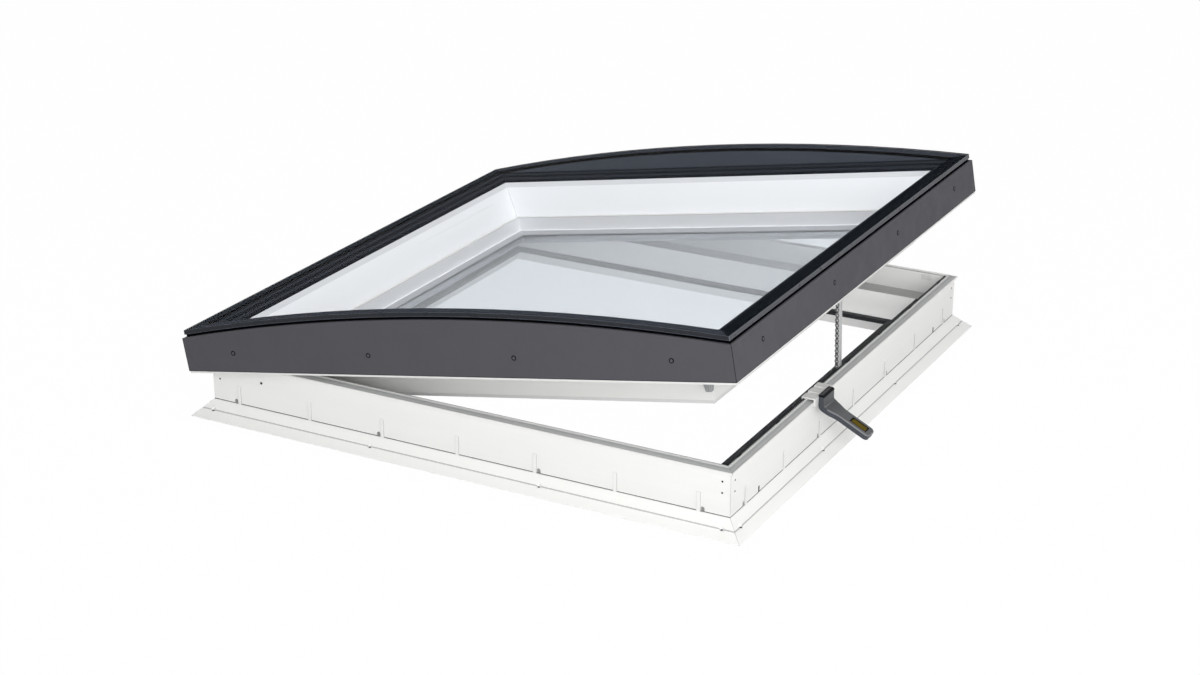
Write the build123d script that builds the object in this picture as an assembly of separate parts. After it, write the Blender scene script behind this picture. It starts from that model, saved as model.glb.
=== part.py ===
from build123d import *
import math
import os

# A flat roof window: a stepped frame on a sloped flange, and a glazed sash with a curved outer
# glass, held open by a push chain. Millimetres, +Z up. The origin is the middle of the frame on
# the roof surface. +X runs from the hinges to the side that opens.

# Frame
frame_width = 1340.0
frame_depth = 1340.0
frame_height = 150.0
upper_wall = 20.5
step_width = 53.5
step_drop = 56.5
channel_width = 32.0
channel_drop = 122.0
lip_rise = 9.0
lip_reach = 13.0
lip_band = 7.0
lip_underside = 6.0
rim_overhang = 5.5
rim_band = 4.5
rim_undercut = 3.0
rim_slope_drop = 6.5
rim_bead = 2.5
rim_cove_rise = 1.0
ridge_inset = 11.5
ridge_round = 3.0
ridge_foot = 1.2
bead_steps = 4

# Ribs and drain cut-outs on the outer walls
rib_count = 7
rib_end_inset = 74.5
rib_width = 9.0
rib_proud = 1.6
rib_top = 84.0
drain_width = 9.0
drain_height = 12.0
drain_depth = 6.0
drain_offset = 10.0
cable_slot_end_inset = 143.0
cable_slot_height = 46.0
cable_slot_length = 16.0
cable_slot_width = 7.0
corner_hole_inset = 20.0
corner_hole_drops = (58.0, 32.0)
corner_hole_radius = 1.8
wall_hole_depth = 8.0
spare_hole_end_inset = 139.0
spare_hole_drop = 46.0
spare_hole_radius = 2.6
corner_seam = 1.2

# Sloped flange round the base
flange_height = 38.0
flange_width = 40.0
flange_edge = 1.5
flange_groove = 1.2
flange_hole_radius = 3.25
flange_hole_seat = 5.5
flange_hole_count = 4
flange_hole_end_inset = 10.0

# Gasket on the frame's lip
gasket_overhang = 13.0
gasket_foot = 8.0
gasket_height = 4.0
gasket_bulb = 6.0
gasket_slant = 2.0

# Seal on the shoulder of the opening side's rim, with a tab at each rib
cord_width = 3.0
cord_height = 2.0
tab_length = 18.0
tab_width = 5.2
tab_height = 2.6

# Hinges
hinge_inset = 20.0
hinge_rise = 8.5
hinge_count = 2
hinge_end_inset = 270.0
opening_angle = 10.1
hinge_length = 70.0
hinge_plate = 3.0
hinge_barrel_radius = 5.5
hinge_pin_radius = 3.0
hinge_pin_clearance = 0.1
hinge_side_clearance = 0.4
hinge_leaf_drop = 50.0
hinge_pocket_clearance = 2.0
hinge_leaf_inset = 16.0

# Sash, in the closed position
sash_overhang = 42.0
sash_drop = 24.0
cladding_height = 81.0
cladding_thickness = 2.0
cladding_return = 8.0
cladding_fold = 3.0
skirt_drop = 5.0
skirt_thickness = 8.0
wing_underside = 30.0
wing_inset = 72.0
body_underside = -28.0
body_outer_inset = 122.0
body_bottom_inset = 126.0
body_bottom = -94.0
reveal_top_inset = 80.0
reveal_top = 70.0
reveal_foot_inset = 129.0
reveal_foot = -14.0
reveal_thickness = 4.0
trim_inset = 40.0
trim_rise = 9.0
trim_edge = 1.5
ledge_inset = 138.0
ledge_foot = -50.0
sill_inset = 157.0
sill_foot = -58.0
sill_edge = 3.0
bead_width = 5.0
seat_clearance = 0.3

# Inner insulating glass
pane_inset = 142.0
pane_thickness = 6.0
pane_gap = 10.0
spacer_width = 12.0
spacer_edge = 4.0
gasket_line = 1.6

# Curved outer glass
glass_overhang_in = 5.0
glass_thickness = 10.0
glass_rise = 48.0
glass_above_cladding = 17.5
border_width = 35.0
border_thickness = 0.6
curve_clearance = 0.15

# Screw caps on the cladding
cap_radius = 5.5
cap_proud = 0.8
cap_height = 46.0
cap_count = 4
cap_end_inset = 142.0

# Push chain
chain_inset = 40.0
chain_pitch = 12.7
chain_depth = 13.0
chain_plate = 1.5
chain_inner_gap = 5.4
chain_play = 0.25
chain_pin_radius = 2.2
chain_pin_proud = 0.5
chain_bush_radius = 3.6
chain_shoulder_gap = 0.5
chain_foot_depth = 16.0
chain_anchor_drop = 14.0
chain_anchor_wall = 3.0
chain_anchor_length = 46.0
chain_anchor_flange = 16.0
chain_anchor_pin_proud = 1.0

# Drive body let into the frame's step
drive_length = 220.0
drive_width = 34.0
drive_depth = 50.0
drive_slot_length = 26.0
drive_slot_width = 20.0
drive_clearance = 0.3

# Lock pegs and keepers
peg_corner_inset = 77.0
peg_inset = 100.0
peg_length = 28.5
peg_top_width = 25.0
peg_tip_width = 13.0
peg_thickness = 12.0
peg_rib_width = 3.0
peg_rib_proud = 1.5
peg_rib_offset = 3.2
keeper_length = 22.0
keeper_height = 14.0
keeper_reach = 6.0
keeper_wall = 2.5
keeper_drop = 6.0

# Rain sensor
sensor_y = -209.0
clip_length = 92.0
clip_wall = 2.2
clip_outer_wall = 5.0
clip_drop = 12.0
clip_steps = 3
clip_step_length = 22.0
clip_step_rise = 2.2
clip_foot_length = 10.0
clip_foot_drop = 4.0
sensor_block_length = 56.0
sensor_block_depth = 14.0
sensor_block_rise = 7.0
sensor_block_drop = 30.0
sensor_block_chamfer = 3.5
sensor_arm_length = 123.0
sensor_arm_width = 42.0
sensor_arm_thickness = 13.0
sensor_arm_slope = 26.7
sensor_neck_start = 14.0
sensor_neck_end = 46.0
sensor_tip_round = 11.0
sensor_edge_chamfer = 2.2
sensor_throat = 8.0
sensor_bend = 14.0
sensor_pad_length = 37.0
sensor_pad_width = 15.0
sensor_pad_end = 16.0
sensor_recess_margin = 4.0
sensor_recess_depth = 3.0
sensor_pad_sunk = 0.8

# Worked-out places
half_width = frame_width / 2
half_depth = frame_depth / 2
step_height = frame_height - step_drop
channel_floor = frame_height - channel_drop
hinge_x = hinge_inset - half_width
hinge_z = frame_height + hinge_rise
sash_bottom_edge = frame_height - sash_drop
chain_x = half_width - chain_inset
peg_x = half_width - peg_corner_inset
sash_half_width = half_width + sash_overhang
sash_half_depth = half_depth + sash_overhang
inner_wall_inset = upper_wall + step_width
lip_inset = inner_wall_inset + channel_width
lip_top = channel_floor + lip_rise
lip_tip_inset = lip_inset + lip_reach
glass_half_width = sash_half_width - glass_overhang_in
glass_half_depth = sash_half_depth - glass_overhang_in
glass_edge_top = sash_bottom_edge + cladding_height + glass_above_cladding
glass_radius = (glass_half_width ** 2 + glass_rise ** 2) / (2 * glass_rise)
glass_arc_centre_z = glass_edge_top + glass_rise - glass_radius
border_top_offset = glass_thickness + curve_clearance
border_foot_offset = border_top_offset + border_thickness
seal_offset = border_foot_offset + curve_clearance
cladding_top = sash_bottom_edge + cladding_height
wing_top = cladding_top - cladding_thickness
cladding_offset = glass_radius - math.hypot(cladding_top - glass_arc_centre_z, sash_half_width)
panel_offset = glass_radius - math.hypot(wing_top - glass_arc_centre_z, sash_half_width)
glass_crown = glass_edge_top + glass_rise
pane_top = sash_bottom_edge + sill_foot - sill_edge
pane_stack = 2 * pane_thickness + pane_gap
pane_half_width = sash_half_width - pane_inset
pane_half_depth = sash_half_depth - pane_inset


def prism_along_x(points, length):
    """A solid of one section, given as (y, z) points, centred on x = 0."""
    section = make_face(Polyline(*[(0, y, z) for y, z in points], close=True))
    return extrude(section, amount=length / 2, dir=(1, 0, 0), both=True)


def mitred_bar(points, span, reach):
    """One front-side bar with 45 degree ends.

    points are (inset, z) pairs, and inset is measured inwards from the outer line, which lies
    reach from the middle and is span long.
    """
    insets = [inset for inset, z in points]
    low, high = min(insets), max(insets)
    bar = prism_along_x([(inset - reach, z) for inset, z in points], span - 2 * low)
    plan = make_face(Polyline(
        (low - span / 2, low - reach),
        (span / 2 - low, low - reach),
        (span / 2 - high, high - reach),
        (high - span / 2, high - reach),
        close=True,
    ))
    heights = [z for inset, z in points]
    bottom = min(heights)
    limits = extrude(plan, amount=max(heights) - bottom, dir=(0, 0, 1)).moved(Location((0, 0, bottom)))
    return bar & limits


def spread(count, half_span, end_inset):
    """Evenly spaced places along a side, the outermost set in from its ends."""
    reach = half_span - end_inset
    return [reach * (2 * number / (count - 1) - 1) for number in range(count)]


def bead(inset, z, radius, first, last):
    """Points round part of a bead, given its centre and its two end angles in degrees."""
    turn = (last - first) / bead_steps
    angles = [math.radians(first + turn * number) for number in range(bead_steps + 1)]
    return [(inset + radius * math.cos(angle), z + radius * math.sin(angle)) for angle in angles]


SIDES = ("front", "opening_side", "back", "hinge_side")


def turned(shape, side):
    """A front-side shape carried round to its own side."""
    return shape.rotate(Axis.Z, 90 * SIDES.index(side))


def side_sizes(side, half_x, half_y):
    """Length of a side and its distance from the middle."""
    if side in ("front", "back"):
        return 2 * half_x, half_y
    return 2 * half_y, half_x


def ring_of_bars(points, half_x, half_y):
    """Four mitred bars joined in one ring."""
    bars = []
    for side in SIDES:
        span, reach = side_sizes(side, half_x, half_y)
        bars.append(turned(mitred_bar(points, span, reach), side))
    ring = bars[0]
    for bar in bars[1:]:
        ring = ring + bar
    return ring.clean()


def box_between(low, high):
    """A box given by two opposite corners."""
    size = [b - a for a, b in zip(low, high)]
    middle = [(a + b) / 2 for a, b in zip(low, high)]
    return Box(*size).moved(Location(tuple(middle)))


def under_curve(offset, half_x, half_y):
    """The space below the outer glass's curve, lowered by offset, down to the cladding's foot."""
    radius = glass_radius - offset
    floor = sash_bottom_edge
    edge_z = glass_arc_centre_z + math.sqrt(radius ** 2 - half_x ** 2)
    crown_z = glass_arc_centre_z + radius
    outline = [
        Line((-half_x, 0, floor), (-half_x, 0, edge_z)),
        ThreePointArc((-half_x, 0, edge_z), (0, 0, crown_z), (half_x, 0, edge_z)),
        Line((half_x, 0, edge_z), (half_x, 0, floor)),
        Line((half_x, 0, floor), (-half_x, 0, floor)),
    ]
    return extrude(make_face(outline), amount=half_y, dir=(0, 1, 0), both=True)


# The frame's walls


def wall_section():
    """Outline of the frame's wall, as (inset, z)."""
    lip_start = lip_top - lip_band
    rim_top = frame_height - rim_slope_drop
    rim_foot = rim_top - rim_band
    ridge_z = frame_height - ridge_round
    ridge_start = ridge_inset - ridge_round
    outer_bead = bead(rim_bead - rim_overhang, rim_top - rim_bead, rim_bead, 180, 60)
    ridge = bead(ridge_inset, ridge_z, ridge_round, 180, 0)
    return [
        (0, 0),
        (0, rim_foot - rim_undercut),
        (-rim_overhang, rim_foot),
        *outer_bead,
        (rim_bead, rim_top + rim_cove_rise),
        (ridge_start - ridge_foot, ridge_z),
        *ridge,
        (upper_wall, ridge_z),
        (upper_wall, step_height),
        (inner_wall_inset, step_height),
        (inner_wall_inset, channel_floor),
        (lip_inset, channel_floor),
        (lip_inset, lip_top),
        (lip_tip_inset, lip_top),
        (lip_tip_inset, lip_start),
        (lip_inset, lip_start - lip_underside),
        (lip_inset, 0),
    ]


def rib_places(span):
    """Centres of the ribs along a wall."""
    return spread(rib_count, span / 2, rib_end_inset)


def ribs(span, reach):
    """The row of upright ribs on the front wall, with round tops."""
    row = []
    for place in rib_places(span):
        height = rib_top - flange_height
        upright = Pos(place, -reach, flange_height + height / 2 - rib_width / 4) * Box(
            rib_width, 2 * rib_proud, height - rib_width / 2)
        head = Pos(place, -reach, rib_top - rib_width / 2) * Rot(90, 0, 0) * Cylinder(
            rib_width / 2, 2 * rib_proud)
        row.append(upright + head)
    return row


def drain_cuts(span, reach):
    """Arched cut-outs beside every second rib, at the foot of the front wall."""
    cuts = []
    for place in rib_places(span)[::2]:
        side = 1 if place > 0 else -1
        centre = place + side * drain_offset
        block = Pos(centre, -reach, flange_height + drain_height / 2 - drain_width / 4) * Box(
            drain_width, 2 * drain_depth, drain_height - drain_width / 2)
        arch = Pos(centre, -reach, flange_height + drain_height - drain_width / 2) * Rot(90, 0, 0)
        cuts.append(block + arch * Cylinder(drain_width / 2, 2 * drain_depth))
    return cuts


def wall_hole(place, reach, drop, radius):
    """A small blind hole in a wall, a given drop below the frame's top."""
    hole = Cylinder(radius, 2 * wall_hole_depth)
    return Pos(place, -reach, frame_height - drop) * Rot(90, 0, 0) * hole


def corner_holes(span, reach):
    """Two small blind holes near the ends of a wall, one low and one high."""
    places = spread(len(corner_hole_drops), span / 2, corner_hole_inset)
    holes = []
    for place, drop in zip(places, corner_hole_drops):
        holes.append(wall_hole(place, reach, drop, corner_hole_radius))
    return holes


def corner_seams(span, reach):
    """A narrow upright groove at each end of a wall, where it meets the next one."""
    top = frame_height - rim_slope_drop - rim_band - rim_undercut
    seam = Box(2 * corner_seam, 2 * corner_seam, top)
    return [Pos(end, -reach, top / 2) * seam for end in (-span / 2, span / 2)]


def cable_slots(span, reach):
    """Two upright cable slots, blind, in the wall of the opening side."""
    slots = []
    straight = cable_slot_length - cable_slot_width
    for place in spread(2, span / 2, cable_slot_end_inset):
        slot = Pos(place, -reach, cable_slot_height) * Box(
            cable_slot_width, 2 * wall_hole_depth, straight)
        for end in (-straight / 2, straight / 2):
            slot = slot + Pos(place, -reach, cable_slot_height + end) * Rot(90, 0, 0) * Cylinder(
                cable_slot_width / 2, 2 * wall_hole_depth)
        slots.append(slot)
    return slots


def drive_pocket(extra):
    """The drive body's room in the step of the front-turned opening side."""
    return Pos(0, -chain_x, step_height - drive_depth / 2) * Box(
        drive_length + 2 * extra, drive_width + 2 * extra, drive_depth + 2 * extra)


def frame_wall(side):
    """One mitred frame wall with its ribs, drains and holes."""
    span, reach = side_sizes(side, half_width, half_depth)
    wall = mitred_bar(wall_section(), span, reach)
    for rib in ribs(span, reach):
        wall = wall + rib
    for cut in drain_cuts(span, reach) + corner_holes(span, reach) + corner_seams(span, reach):
        wall = wall - cut
    if side == "front":
        place = spare_hole_end_inset - span / 2
        wall = wall - wall_hole(place, reach, spare_hole_drop, spare_hole_radius)
    if side == "opening_side":
        for slot in cable_slots(span, reach):
            wall = wall - slot
        wall = wall - drive_pocket(drive_clearance)
    return turned(wall, side)


# The sloped flange


def flange_section():
    """Outline of the sloped flange, outside the wall, as (inset, z)."""
    middle_x = -flange_width / 2
    middle_z = flange_height / 2
    return [
        (0, 0),
        (0, flange_height),
        (middle_x + flange_groove, middle_z + flange_groove),
        (middle_x, middle_z - flange_groove),
        (middle_x - flange_groove, middle_z - flange_groove),
        (-flange_width, flange_edge),
        (-flange_width, 0),
    ]


def flange(side):
    """One mitred flange strip with its four screw holes."""
    span, reach = side_sizes(side, half_width, half_depth)
    strip = mitred_bar(flange_section(), span, reach)
    for place in spread(flange_hole_count, span / 2, flange_hole_end_inset):
        spot = Pos(place, -reach - flange_width / 2, 0)
        strip = strip - spot * Cylinder(flange_hole_radius, 4 * flange_height)
        seat = Cylinder(flange_hole_seat, flange_height, align=(Align.CENTER, Align.CENTER, Align.MIN))
        strip = strip - spot * Pos(0, 0, flange_height / 2 - 2 * flange_groove) * seat
    return turned(strip, side)


def rim_seal():
    """The black cord on the shoulder of the opening side's rim, with its tabs."""
    edge_x = half_width - upper_wall
    base = frame_height - ridge_round
    seal = box_between(
        (edge_x, upper_wall - half_depth, base),
        (edge_x + cord_width, half_depth - upper_wall, base + cord_height),
    )
    for place in rib_places(frame_depth):
        seal = seal + box_between(
            (edge_x, place - tab_length / 2, base),
            (edge_x + tab_width, place + tab_length / 2, base + tab_height),
        )
    return seal


def frame_gasket():
    """The soft black ring on the frame's inner lip, and the seal on the rim."""
    tip = lip_tip_inset + gasket_overhang
    section = [
        (lip_tip_inset - gasket_foot, lip_top),
        (lip_tip_inset - gasket_foot + gasket_slant, lip_top + gasket_height),
        (tip - gasket_slant, lip_top + gasket_height),
        (tip, lip_top),
        (tip - gasket_slant, lip_top - gasket_bulb),
        (lip_tip_inset + gasket_slant, lip_top - gasket_bulb),
        (lip_tip_inset, lip_top - gasket_slant),
        (lip_tip_inset, lip_top),
    ]
    return Compound(children=[ring_of_bars(section, half_width, half_depth), rim_seal()])


# The sash. Everything is drawn closed and then swung open about the hinge line


def opened(shape):
    """A sash piece swung from the closed to the open position."""
    hinge_line = Axis((hinge_x, 0, hinge_z), (0, 1, 0))
    return shape.rotate(hinge_line, -opening_angle)


def at_sash(points):
    """Section points, with heights counted from the cladding's lower edge."""
    return [(inset, sash_bottom_edge + z) for inset, z in points]


def sash_section():
    """Outline of the white sash profile, as (inset, z)."""
    wing_height = cladding_height - cladding_thickness
    pocket_inset = pane_inset - gasket_line
    pocket_top = sill_foot - sill_edge
    pocket_bottom = pocket_top - pane_stack
    skirt_inset = cladding_thickness + skirt_thickness
    return at_sash([
        (cladding_thickness, -skirt_drop),
        (cladding_thickness, wing_height),
        (trim_inset, wing_height),
        (reveal_top_inset - reveal_thickness, reveal_top),
        (reveal_foot_inset - reveal_thickness, reveal_foot),
        (ledge_inset, reveal_foot),
        (ledge_inset, ledge_foot),
        (sill_inset, sill_foot),
        (sill_inset, pocket_top),
        (pocket_inset, pocket_top),
        (pocket_inset, pocket_bottom),
        (pocket_inset + bead_width, pocket_bottom),
        (pocket_inset + bead_width, body_bottom),
        (body_bottom_inset, body_bottom),
        (body_outer_inset, body_underside),
        (wing_inset, body_underside),
        (wing_inset, wing_underside),
        (skirt_inset, wing_underside),
        (skirt_inset, -skirt_drop),
    ])


def hinge_pocket(place):
    """Room over a hinge in the underside of the hinge-side wing."""
    room = hinge_barrel_radius + hinge_pocket_clearance
    half_length = hinge_length / 2 + hinge_pocket_clearance
    return box_between(
        (hinge_leaf_inset - sash_half_width, place - half_length, hinge_z - 4 * room),
        (wing_inset - sash_half_width, place + half_length, hinge_z + room + hinge_plate),
    )


def sash_bar(side):
    """One mitred white sash profile."""
    span, reach = side_sizes(side, sash_half_width, sash_half_depth)
    bar = turned(mitred_bar(sash_section(), span, reach), side)
    if side == "hinge_side":
        for place in spread(hinge_count, half_depth, hinge_end_inset):
            bar = bar - hinge_pocket(place)
    return opened(bar)


def reveal(side):
    """The sloping white board between the outer glass and the inner glass."""
    span, reach = side_sizes(side, sash_half_width, sash_half_depth)
    section = at_sash([
        (reveal_top_inset - reveal_thickness, reveal_top),
        (reveal_top_inset, reveal_top),
        (reveal_foot_inset, reveal_foot),
        (reveal_foot_inset - reveal_thickness, reveal_foot),
    ])
    return opened(turned(mitred_bar(section, span, reach), side))


def reveal_trim():
    """The black trim between the reveals and the outer glass's border."""
    wing_height = cladding_height - cladding_thickness
    section = at_sash([
        (trim_inset, wing_height),
        (trim_inset, wing_height + trim_rise),
        (reveal_top_inset, reveal_top + trim_edge),
        (reveal_top_inset, reveal_top),
        (reveal_top_inset - reveal_thickness, reveal_top),
    ])
    return opened(ring_of_bars(section, sash_half_width, sash_half_depth))


def arch_panel(side):
    """The dark panel under the arched edge of the outer glass, at the front or the back."""
    half_x = sash_half_width - cladding_return
    block = box_between(
        (-half_x, cladding_thickness - sash_half_depth, wing_top),
        (half_x, trim_inset - sash_half_depth, glass_crown),
    )
    space = under_curve(panel_offset + curve_clearance, half_x, sash_half_depth)
    return opened(turned(block & space, side))


def edge_seal():
    """The black seal between the cladding and the outer glass, one ring."""
    inner_x = sash_half_width - trim_inset
    inner_y = sash_half_depth - trim_inset
    outer_x = sash_half_width - cladding_return
    outer_y = sash_half_depth - cladding_return
    block = box_between((-outer_x, -outer_y, wing_top), (outer_x, outer_y, glass_crown))
    block = block - box_between((-inner_x, -inner_y, wing_top), (inner_x, inner_y, glass_crown))
    ring = block & under_curve(seal_offset, outer_x, outer_y)
    panels = under_curve(panel_offset, outer_x, outer_y)
    between = box_between((-outer_x, -inner_y, wing_top), (outer_x, inner_y, glass_crown))
    return opened(ring - (panels - between))


def cladding(side):
    """One folded cladding sheet, arched at the front and back, straight at the other sides."""
    span, reach = side_sizes(side, sash_half_width, sash_half_depth)
    base = sash_bottom_edge
    arched = side in ("front", "back")
    top = glass_crown if arched else cladding_top
    edge = [(0, top)] if arched else bead(cladding_fold, top - cladding_fold, cladding_fold, 180, 90)
    skin = mitred_bar([
        (0, base),
        *edge,
        (cladding_return, top),
        (cladding_return, base),
    ], span, reach)
    hollow = mitred_bar([
        (cladding_thickness, base),
        (cladding_thickness, top - cladding_thickness),
        (cladding_return, top - cladding_thickness),
        (cladding_return, base),
    ], span, reach)
    if arched:
        skin = skin & under_curve(cladding_offset, sash_half_width, sash_half_depth)
        hollow = hollow & under_curve(panel_offset, sash_half_width, sash_half_depth)
    return opened(turned(skin - hollow, side))


def outer_glass():
    """The curved outer glass."""
    upper = under_curve(0, glass_half_width, glass_half_depth)
    lower = under_curve(glass_thickness, glass_half_width, glass_half_depth)
    return opened(upper - lower)


def glass_border():
    """The black border printed under the outer glass."""
    upper = under_curve(border_top_offset, glass_half_width, glass_half_depth)
    lower = under_curve(border_foot_offset, glass_half_width, glass_half_depth)
    clear_x = glass_half_width - border_width
    clear_y = glass_half_depth - border_width
    window = box_between(
        (-clear_x, -clear_y, wing_top),
        (clear_x, clear_y, glass_crown),
    )
    return opened(upper - lower - window)


def pane(top):
    """One flat pane of the insulating glass."""
    return opened(box_between(
        (-pane_half_width, -pane_half_depth, top - pane_thickness),
        (pane_half_width, pane_half_depth, top),
    ))


def frame_of_strips(inset_low, inset_high, low, high):
    """A flat ring between two insets from the sash's outer line."""
    return ring_of_bars([
        (inset_low, low),
        (inset_low, high),
        (inset_high, high),
        (inset_high, low),
    ], sash_half_width, sash_half_depth)


def glass_spacer():
    """The spacer between the two panes."""
    top = pane_top - pane_thickness
    low_inset = pane_inset + spacer_edge
    return opened(frame_of_strips(low_inset, low_inset + spacer_width, top - pane_gap, top))


def glazing_gasket():
    """The black line of rubber between the sash and the edge of the insulating glass."""
    outer = pane_inset - gasket_line
    return opened(frame_of_strips(outer, pane_inset, pane_top - pane_stack, pane_top))


def screw_caps():
    """Round caps over the cladding's screws."""
    caps = []
    height = sash_bottom_edge + cap_height
    for side in SIDES:
        span, reach = side_sizes(side, sash_half_width, sash_half_depth)
        for place in spread(cap_count, span / 2, cap_end_inset):
            cap = Pos(place, -reach - cap_proud / 2, height) * Rot(90, 0, 0) * Cylinder(
                cap_radius, cap_proud)
            caps.append(opened(turned(cap, side)))
    return Compound(children=caps)


# The hinges


def hinge_knuckle(place, length, radius):
    """A short barrel on the hinge line, centred at a place along it."""
    return Pos(hinge_x, place, hinge_z) * Rot(90, 0, 0) * Cylinder(radius, length)


def hinge_bore(place):
    """The pin's hole through one hinge."""
    return hinge_knuckle(place, 2 * hinge_length, hinge_pin_radius + hinge_pin_clearance)


def frame_leaf(place):
    """The hinge leaf on the inner face of the frame's upper wall."""
    middle = hinge_length / 3 - 2 * hinge_side_clearance
    face_x = -half_width + upper_wall
    plate = box_between(
        (face_x, place - hinge_length / 2, hinge_z - hinge_leaf_drop),
        (face_x + hinge_plate, place + hinge_length / 2, frame_height),
    )
    neck = box_between(
        (face_x, place - middle / 2, frame_height),
        (face_x + hinge_plate, place + middle / 2, hinge_z),
    )
    return plate + neck + hinge_knuckle(place, middle, hinge_barrel_radius) - hinge_bore(place)


def sash_leaf(place):
    """The hinge leaf under the sash's wing, with a knuckle at each end."""
    third = hinge_length / 3
    top = hinge_z + hinge_barrel_radius + hinge_pocket_clearance + hinge_plate
    leaf = box_between(
        (hinge_leaf_inset - sash_half_width, place - hinge_length / 2, top - hinge_plate),
        (hinge_x + hinge_barrel_radius, place + hinge_length / 2, top),
    )
    for side in (-1, 1):
        centre = place + side * third
        leaf = leaf + hinge_knuckle(centre, third - hinge_side_clearance, hinge_barrel_radius)
        half = (third - hinge_side_clearance) / 2
        leaf = leaf + box_between(
            (hinge_x - hinge_barrel_radius, centre - half, hinge_z),
            (hinge_x - hinge_barrel_radius + hinge_plate, centre + half, top),
        )
    return opened(leaf - hinge_bore(place))


def hinge_pin(place):
    """The pin of one hinge."""
    return hinge_knuckle(place, hinge_length, hinge_pin_radius)


def at_hinges(maker):
    """One kind of hinge piece, made at every hinge."""
    places = spread(hinge_count, half_depth, hinge_end_inset)
    return Compound(children=[maker(place) for place in places])


# The push chain


def swung_point(x, z):
    """A point of the closed sash after the sash has swung open."""
    angle = math.radians(opening_angle)
    run = x - hinge_x
    rise = z - hinge_z
    return (
        hinge_x + run * math.cos(angle) - rise * math.sin(angle),
        hinge_z + run * math.sin(angle) + rise * math.cos(angle),
    )


def chain_line():
    """Foot of the chain, its direction and the number of links up to the sash's anchor."""
    top_x, top_z = swung_point(chain_x, sash_bottom_edge + body_underside - chain_anchor_drop)
    foot_z = step_height - chain_foot_depth
    length = math.hypot(top_x - chain_x, top_z - foot_z)
    lean = math.degrees(math.atan2(top_x - chain_x, top_z - foot_z))
    return (top_x, top_z), lean, int(length // chain_pitch)


def on_chain(shape):
    """A shape drawn with the anchor at the origin and the chain hanging along -Z."""
    (top_x, top_z), lean, count = chain_line()
    return Pos(top_x, 0, top_z) * Rot(0, lean, 0) * shape


def link_plate(layer, shoulder):
    """One side plate of a link: rounded in front, with a square shoulder behind."""
    radius = chain_depth / 2
    half = chain_pitch / 2
    low = -half - shoulder
    high = half + shoulder
    waist = radius - chain_plate
    front = make_face(Polyline(*[
        (0, 0, low),
        (radius, 0, low),
        (radius, 0, high),
        (0, 0, high),
    ], close=True))
    body = extrude(front, amount=chain_plate / 2, dir=(0, 1, 0), both=True)
    for end in (-half, half):
        body = body + Pos(0, 0, end) * Rot(90, 0, 0) * Cylinder(radius - chain_play, chain_plate)
    neck = Box(waist, chain_plate, chain_pitch).moved(Location((-waist / 2, 0, 0)))
    return (body + neck).moved(Location((0, layer, 0)))


def outer_link():
    """Two outer plates and their two pins, as one piece."""
    layer = chain_inner_gap / 2 + chain_plate + chain_play + chain_plate / 2
    shoulder = (chain_pitch - chain_shoulder_gap) / 2
    link = link_plate(-layer, shoulder) + link_plate(layer, shoulder)
    width = 2 * (layer + chain_plate / 2 + chain_pin_proud)
    for end in (-chain_pitch / 2, chain_pitch / 2):
        link = link + Pos(0, 0, end) * Rot(90, 0, 0) * Cylinder(chain_pin_radius, width)
    return link


def inner_link():
    """Two inner plates and their two bushes, as one piece."""
    layer = chain_inner_gap / 2 + chain_plate / 2
    shoulder = (chain_pitch - chain_shoulder_gap) / 2
    link = link_plate(-layer, shoulder) + link_plate(layer, shoulder)
    width = 2 * layer
    for end in (-chain_pitch / 2, chain_pitch / 2):
        link = link + Pos(0, 0, end) * Rot(90, 0, 0) * Cylinder(chain_bush_radius, width)
        bore = Cylinder(chain_pin_radius + chain_play, 2 * width)
        link = link - Pos(0, 0, end) * Rot(90, 0, 0) * bore
    return link


def chain_links(kind):
    """All outer or all inner links, hanging from the sash's anchor."""
    count = chain_line()[2]
    first = 0 if kind == "inner" else 1
    link = inner_link() if kind == "inner" else outer_link()
    placed = []
    for number in range(first, count, 2):
        placed.append(on_chain(Pos(0, 0, -(number + 0.5) * chain_pitch) * link))
    return Compound(children=placed)


def chain_anchor():
    """The bracket under the sash that holds the chain's first link."""
    half_gap = chain_inner_gap / 2 + chain_plate + chain_play
    base_z = sash_bottom_edge + body_underside
    flange_half = half_gap + chain_anchor_wall + chain_anchor_flange
    half_length = chain_anchor_length / 2
    ear_radius = chain_depth / 2 - chain_plate
    low_x = chain_x - half_length
    high_x = chain_x + ear_radius
    plate = box_between(
        (low_x, -flange_half, base_z - chain_anchor_wall),
        (high_x, flange_half, base_z),
    )
    pin_z = base_z - chain_anchor_drop
    for side in (-1, 1):
        centre = side * (half_gap + chain_anchor_wall / 2)
        ear = box_between(
            (low_x + half_length / 2, centre - chain_anchor_wall / 2, pin_z),
            (high_x, centre + chain_anchor_wall / 2, base_z - chain_anchor_wall),
        )
        tip = Pos(chain_x, centre, pin_z) * Rot(90, 0, 0) * Cylinder(ear_radius, chain_anchor_wall)
        plate = plate + ear + tip
    pin_width = 2 * (half_gap + chain_anchor_wall + chain_anchor_pin_proud)
    plate = plate + Pos(chain_x, 0, pin_z) * Rot(90, 0, 0) * Cylinder(chain_pin_radius, pin_width)
    return opened(plate)


def chain_drive():
    """The drive body let into the frame's step, with the slot that the chain comes out of."""
    body = drive_pocket(0)
    slot = Pos(0, -chain_x, step_height) * Box(
        drive_slot_length, drive_slot_width, 2 * (chain_foot_depth + chain_pitch + chain_depth))
    return turned(body - slot, "opening_side")


# Lock pegs and keepers


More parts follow.
